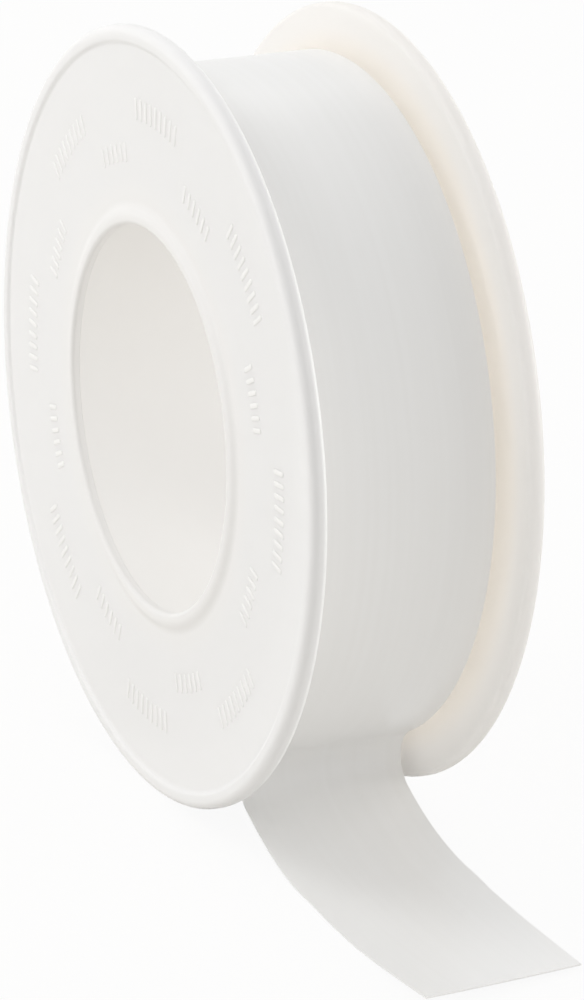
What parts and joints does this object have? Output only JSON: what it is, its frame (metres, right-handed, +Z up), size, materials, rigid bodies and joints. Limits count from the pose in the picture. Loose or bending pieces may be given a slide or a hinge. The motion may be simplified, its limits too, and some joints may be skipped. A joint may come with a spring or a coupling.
{
  "type": "thread seal tape roll",
  "caption": "Upright roll of white thread seal tape on a flanged plastic spool with an open bore, its free end peeled off the winding and lying on the ground.",
  "frame": {"origin": "centre of the bore, midway between the flanges", "axes": "+Y along the bore from the front flange to the rear flange, +Z up with the roll standing on its rims, +X towards the tape's free end"},
  "size_m": [0.0659, 0.0166, 0.052],
  "materials": {
    "spool_plastic": "satin, slightly translucent white moulding",
    "tape_film": "satin white film"
  },
  "bodies": {
    "spool": {"spool_body": "spool_plastic", "front_flange": "spool_plastic", "tape_pack": "tape_film"},
    "tape_end": {"tape_outer_turn": "tape_film", "tape_tail": "tape_film"}
  },
  "joints": [
    {"name": "tape_unwind", "type": "hinge", "parent": "spool", "child": "tape_end", "pos_m": [0, 0, 0], "axis": [0, -1, 0], "continuous": true}
  ]
}
